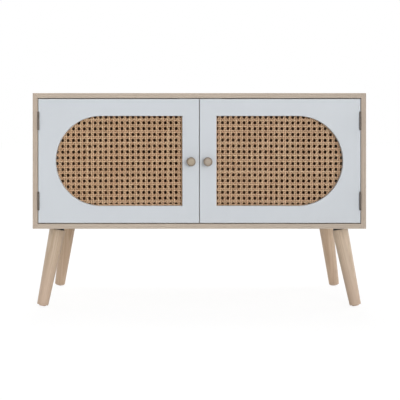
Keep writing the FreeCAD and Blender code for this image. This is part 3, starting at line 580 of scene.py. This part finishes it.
def knobOak(side, look):
    low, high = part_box(side + "_knob")
    middle = ((low[0] + high[0]) / 2, (low[2] + high[2]) / 2)

    # Painted shade: the rim is mixed toward the pore colour, for the rounded rim turning from the light.
    def rimShadeShare(f, fibre):
        place = f.parts(f.here())
        across, up = place[0] - middle[0], place[2] - middle[1]
        return ((across * across + up * up) ** 0.5).between(*look["rim"]) * look["rimDepth"]

    return oak(f"oak_{side}_knob", look, look["turn"], look["shift"], [(look["pore"], rimShadeShare)])


for side, look in (("left", leftKnobLook), ("right", knobLook)):
    dress(knobOak(side, look), side + "_knob")

stripLook = dict(boardLook, light=seen(186, 164, 136), dark=seen(158, 132, 104), shift=(0.7, 0.2, 0))
dress(oak("strip_wood", stripLook, shift=stripLook["shift"]), *ofEachDoor("_cane_retainer"))
beechLook = dict(knobLook, light=seen(214, 190, 156), dark=seen(190, 162, 128))
dress(oak("beech", beechLook), "carcass_dowels")

shadedHardboardLook = {
    # its own brown, taken darker as painted shade for the inside seen through the cane
    "light": seen(128, 100, 72),
    "dark": seen(98, 74, 52),
    "felt": {"scale": 260.0, "detail": 4.0, "roughness": 0.7, "distortion": 1.5},
    "cloud": {"scale": 5.0, "detail": 3.0, "roughness": 0.6},
    "feltTone": 1.4,
    "cloudTone": 0.8,
    "roughness": 0.72,
    "feltRough": 0.3,
    "relief": (0.3, 0.0005),
}


# Hardboard: short felted fibres, brown, and darker than its own brown as painted shade
# for the cabinet's inside seen through the cane.
def hardboard(name, look):
    f = Finish(name)
    here = f.here()
    felt = f.noise(here, **look["felt"])
    cloud = f.noise(here, **look["cloud"])
    darkness = felt.swing(look["feltTone"]) + cloud.swing(look["cloudTone"]) + 0.5
    rough = look["roughness"] + felt.swing(look["feltRough"])
    tone = f.mix(darkness, look["light"], look["dark"])
    return f.surface(baseColor=tone, roughness=rough, normal=f.bump(felt, *look["relief"]))


dress(hardboard("hardboard", shadedHardboardLook), "back_panel")

lacquerLook = {
    "light": seen(209, 214, 219),
    "dark": seen(204, 209, 214),
    "worn": seen(222, 222, 220),
    "cloud": {"scale": 7.0, "detail": 3.0, "roughness": 0.55},
    "peel": {"scale": 900.0},
    "bands": {"scale": (40.0, 40.0, 3.0)},
    "cloudTone": 0.8,
    "bandTone": 0.4,
    "wornWidth": 0.0014,
    "wornBase": 0.2,
    "wornByCloud": 0.6,
    "roughness": 0.42,
    "cloudRough": 0.12,
    "peelRough": 0.08,
    "peelRelief": 0.6,
    "bandRelief": 0.4,
    "relief": (0.12, 0.0003),
}


# Satin lacquer: an almost even pale grey with a fine orange peel and faint roller bands, rubbed
# thin along its edges.
def lacquer(name, box, look):
    f = Finish(name)
    here = f.here()
    cloud = f.noise(here, **look["cloud"])
    peel = f.noise(here, **look["peel"])
    bands = f.noise(here, **look["bands"])
    darkness = cloud.swing(look["cloudTone"]) + bands.swing(look["bandTone"]) + 0.5
    rubbed = f.edgeOf(box, look["wornWidth"]) * (look["wornBase"] + look["wornByCloud"] * cloud)
    colour = f.mix(rubbed, f.mix(darkness, look["light"], look["dark"]), look["worn"])
    rough = look["roughness"] + cloud.swing(look["cloudRough"]) + peel.swing(look["peelRough"])
    normal = f.bump(peel * look["peelRelief"] + bands * look["bandRelief"], *look["relief"])
    return f.surface(baseColor=colour, roughness=rough, normal=normal)


for name in ofEachDoor("_door"):
    dress(lacquer("lacquer_" + name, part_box(name), lacquerLook), name)

metalLook = {
    "scratchesPerMetre": 900.0,
    "stretch": (1.0, 1.0, 1.0),  # scratches run along the axis that has the smallest share
    "scratch": {"detail": 3.0, "roughness": 0.6},
    "worn": {"scale": 90.0, "detail": 3.0, "roughness": 0.6},
    "wornEdge": (0.5, 0.75),  # from where to where in its pattern the metal dulls
    "scratchTone": 0.8,
    "baseTone": 0.3,
    "grime": 0.3,
    "scratchRough": 0.25,
    "wornRough": 0.15,
    "metallic": 1.0,
    "relief": (0.2, 0.0001),
}
leaves = [f"{level}_hinge_{leaf}" for level in ("upper", "lower") for leaf in ("frame", "door")]
hinges = ["hinge_pins", *ofEachDoor(*[f"_{leaf}_leaf" for leaf in leaves])]
plates = ["catch_pole_plates", *ofEachDoor("_strike_plate")]
screws = ["partition_screws", "hinge_frame_screws", "catch_screws", "leg_plate_screws", "hanger_bolts"]
screws += ofEachDoor("_knob_screw", "_hinge_door_screws", "_strike_screws")
legPlates = [f"{end}_{side}_leg_plate" for end in ("front", "rear") for side in hands]
alongZ, alongX = {"stretch": (1.0, 1.0, 0.06)}, {"stretch": (0.06, 1.0, 1.0)}
metals = (
    # name, light, dark, roughness, what else differs, pieces
    ("aged_nickel", (112, 104, 98), (78, 72, 68), 0.42, alongZ, hinges),
    ("bright_steel", (205, 205, 203), (160, 160, 158), 0.3, {}, ofEachDoor("_brads")),
    ("zinc_screw", (188, 186, 182), (138, 136, 134), 0.33, {}, screws),
    ("zinc_casting", (176, 176, 178), (140, 140, 142), 0.5, {}, ["cam_bolts", "cam_locks"]),
    ("plated_sheet", (190, 190, 190), (150, 150, 150), 0.36, alongX, plates),
    ("black_plate", (46, 45, 44), (28, 27, 27), 0.5, {"grime": 0.6, "metallic": 0.2}, legPlates),
    ("ferrite", (70, 69, 68), (44, 43, 43), 0.7, {"metallic": 0.3}, ["catch_magnets"]),
)


# Metal: colour and roughness drift, with scratches drawn along one way.
def metal(name, look):
    f = Finish(name)
    here = f.here()
    scale = tuple(look["scratchesPerMetre"] * share for share in look["stretch"])
    scratch = f.noise(here, scale, **look["scratch"])
    worn = f.noise(here, **look["worn"]).between(*look["wornEdge"])
    darkness = scratch.swing(look["scratchTone"]) + worn * look["grime"] + look["baseTone"]
    return f.surface(
        baseColor=f.mix(darkness, look["light"], look["dark"]),
        roughness=look["roughness"] + scratch.swing(look["scratchRough"]) + worn * look["wornRough"],
        metallic=look["metallic"],
        normal=f.bump(scratch, *look["relief"]),
    )


for name, light, dark, roughness, own, pieces in metals:
    look = metalLook | {"light": seen(*light), "dark": seen(*dark), "roughness": roughness} | own
    dress(metal(name, look), *pieces)

plasticLook = {
    "grain": {"scale": 1600.0},
    "cloud": {"scale": 60.0},
    "cloudEdge": (0.3, 0.75),
    "grainRough": 0.2,
    "relief": (0.25, 0.0001),
}
plastics = (
    # name, light, dark, roughness, pieces
    ("white_plastic", (222, 220, 215), (208, 205, 199), 0.4, ofEachDoor("_catch_housing")),
    ("bumper", (214, 214, 212), (196, 196, 194), 0.3, ofEachDoor("_bumpers")),
    ("glide", (202, 176, 154), (188, 162, 140), 0.55, ["foot_glides"]),
)


# Moulded plastic: an even colour with a fine spark-eroded grain.
def plastic(name, light, dark, roughness):
    f = Finish(name)
    here = f.here()
    grain = f.noise(here, **plasticLook["grain"])
    cloud = f.noise(here, **plasticLook["cloud"]).between(*plasticLook["cloudEdge"])
    return f.surface(
        baseColor=f.mix(cloud, seen(*light), seen(*dark)),
        roughness=roughness + grain.swing(plasticLook["grainRough"]),
        normal=f.bump(grain, *plasticLook["relief"]),
    )


for name, light, dark, roughness, pieces in plastics:
    dress(plastic(name, light, dark, roughness), *pieces)

caneLook = {
    "light": seen(238, 205, 165),
    "dark": seen(174, 134, 93),
    "rosy": seen(210, 154, 120),
    "edge": seen(70, 38, 16),
    # how fast fibres and slow stains change round a strand, along it and from strand to strand
    "fibreRuns": (60, 28, 97),
    "stainRuns": (2, 22, 53),
    "fibre": {"detail": 3.0, "roughness": 0.6},
    "shadeTone": 0.5,
    "fibreTone": 0.9,
    "stainTone": 1.2,
    "baseTone": 0.2,
    "rosyPick": 7.3,  # turns a strand's shade into how rosy it is
    "rosyShare": 0.4,
    "cutSide": (0.15, 0.85),  # from the cut side to the crown
    "edgeShare": 0.8,
    "roughness": 0.38,
    "fibreRough": 0.3,
    "relief": (0.3, 0.0002),
}
slantingLook = caneLook | {
    "light": seen(212, 176, 135),
    "dark": seen(154, 114, 73),
    "rosy": seen(190, 136, 100),
}


# Peeled rattan: each strand its own shade, straw to rosy, fine fibres along it and darker cut sides.
def peeledCane(name, look):
    f = Finish(name)
    around, along = f.parts(f.node("UVMap", {"uv_map": "strand"}))[:2]
    shade = f.node("Attribute", {"attribute_name": "shade"}, {}, "Fac")

    def runs(aroundSpeed, alongSpeed, strandSpeed):
        sockets = {"X": around * aroundSpeed, "Y": along * alongSpeed, "Z": shade * strandSpeed}
        return f.node("CombineXYZ", {}, sockets)

    fibre = f.noise(runs(*look["fibreRuns"]), 1.0, **look["fibre"])
    stain = f.noise(runs(*look["stainRuns"]), 1.0)
    darkness = shade * look["shadeTone"] + fibre.swing(look["fibreTone"])
    darkness = darkness + stain.swing(look["stainTone"]) + look["baseTone"]
    tone = f.mix(darkness, look["light"], look["dark"])
    rosy = f.maths("FRACT", shade * look["rosyPick"]) * look["rosyShare"]
    tone = f.mix(rosy, tone, look["rosy"])
    crown = f.maths("ABSOLUTE", f.maths("SINE", around * 2 * np.pi))
    cutSide = (1 - crown.between(*look["cutSide"])) * look["edgeShare"]
    return f.surface(
        baseColor=f.mix(cutSide, tone, look["edge"]),
        roughness=look["roughness"] + fibre.swing(look["fibreRough"]),
        normal=f.bump(fibre, *look["relief"]),
    )


peeled = {
    "straight": peeledCane("cane_straight", caneLook),
    "slanting": peeledCane("cane_slanting", slantingLook),
}
for piece in canePieces:
    piece.data.materials.append(peeled[piece.name.split("_")[-1]])
print("finishes made")

stageLook = {
    "halfSize": 30.0,  # metres from the middle of the floor to its edge
    "floor": (0.86, 0.86, 0.86),
    "floorSeen": (0.16, 0.16, 0.16),  # its own shade as the camera sees it, on top of the glow
    "floorGlow": (0.89, 0.89, 0.89),
    "farGlow": (0.935, 0.935, 0.935),  # where the lamps no longer reach
    "farFrom": (1.6, 4.0),  # metres from the cabinet, from where to where
    "skyLevel": 0.45,
    "lampSpread": np.radians(95),
}


# Floor: white to the camera, with a faint share of its own shade, so that the shadow still shows.
# It glows more farther away, so that it meets the sky without a line.
def paleFloor(name):
    f = Finish(name)
    toCamera = f.node("LightPath", {}, {}, "Is Camera Ray")
    shade = f.mix(toCamera, stageLook["floor"], stageLook["floorSeen"])
    across, away = f.parts(f.here())[:2]
    far = ((across * across + away * away) ** 0.5).between(*stageLook["farFrom"])
    white = f.mix(far, stageLook["floorGlow"], stageLook["farGlow"])
    glow = f.mix(toCamera, (0.0, 0.0, 0.0), white)
    f.feed(f.shader.inputs["Specular IOR Level"], 0.0)
    return f.surface(baseColor=shade, emissionColor=glow, emissionStrength=1.0, roughness=1.0)


# Sky: white where it is seen, straight or in a reflection, and dimmer as light.
def paleSky(name):
    f = Finish(name, "MixShader", sky=True)
    dim = f.node("Background", {}, {"Color": (1.0, 1.0, 1.0), "Strength": stageLook["skyLevel"]})
    white = f.node("Background", {}, {"Color": (1.0, 1.0, 1.0)})
    rays = ("Camera", "Glossy", "Transmission")
    isSeen = [f.node("LightPath", {}, {}, f"Is {ray} Ray") for ray in rays]
    factor = f.maths("MAXIMUM", f.maths("MAXIMUM", *isSeen[:2]), isSeen[2])
    for socket, value in (("Fac", factor), (1, dim), (2, white)):
        f.feed(f.shader.inputs[socket], value)
    return f.made


far = stageLook["halfSize"]
floorCorners = [(-far, -far, 0), (far, -far, 0), (far, far, 0), (-far, far, 0)]
floorMesh = bpy.data.meshes.new("floor")
floorMesh.from_pydata(floorCorners, [], [(0, 1, 2, 3)])
floorMesh.materials.append(paleFloor("pale_floor"))
floor = bpy.data.objects.new("floor", floorMesh)
bpy.context.collection.objects.link(floor)
bpy.context.scene.world = paleSky("pale_sky")
bpy.context.scene.view_settings.view_transform = "Standard"

lamps = (
    # name, place, aim, size, watts
    ("softbox_key", (1.9, -6.6, 1.9), (-6.2, 0.0, 0.4), 4.4, 119.0),
    ("softbox_low", (1.6, -5.2, 0.3), (0.8, 0.0, 0.0), 1.8, 8.0),
    ("softbox_fill", (-3.2, -5.0, 0.4), (1.8, 0.0, 0.0), 2.4, 5.0),
    ("softbox_top", (0.0, 1.4, 4.2), (0.0, 0.4, 0.6), 2.0, 17.0),
    ("softbox_left", (-4.2, 1.6, 1.5), (-0.5, 0.0, 0.5), 2.0, 13.0),
    ("softbox_right", (4.2, 1.6, 1.5), (0.5, 0.0, 0.5), 2.0, 13.0),
    ("softbox_back", (0.0, 4.8, 1.6), (0.0, 0.2, 0.5), 2.4, 14.0),
)
for name, place, aim, across, watts in lamps:
    light = bpy.data.lights.new(name, "AREA")
    light.size = across
    light.energy = watts
    light.spread = stageLook["lampSpread"]
    lamp = bpy.data.objects.new(name, light)
    lamp.location = place
    lamp.rotation_euler = (Vector(aim) - Vector(place)).to_track_quat("-Z", "Y").to_euler()
    bpy.context.collection.objects.link(lamp)
print("stage lit")
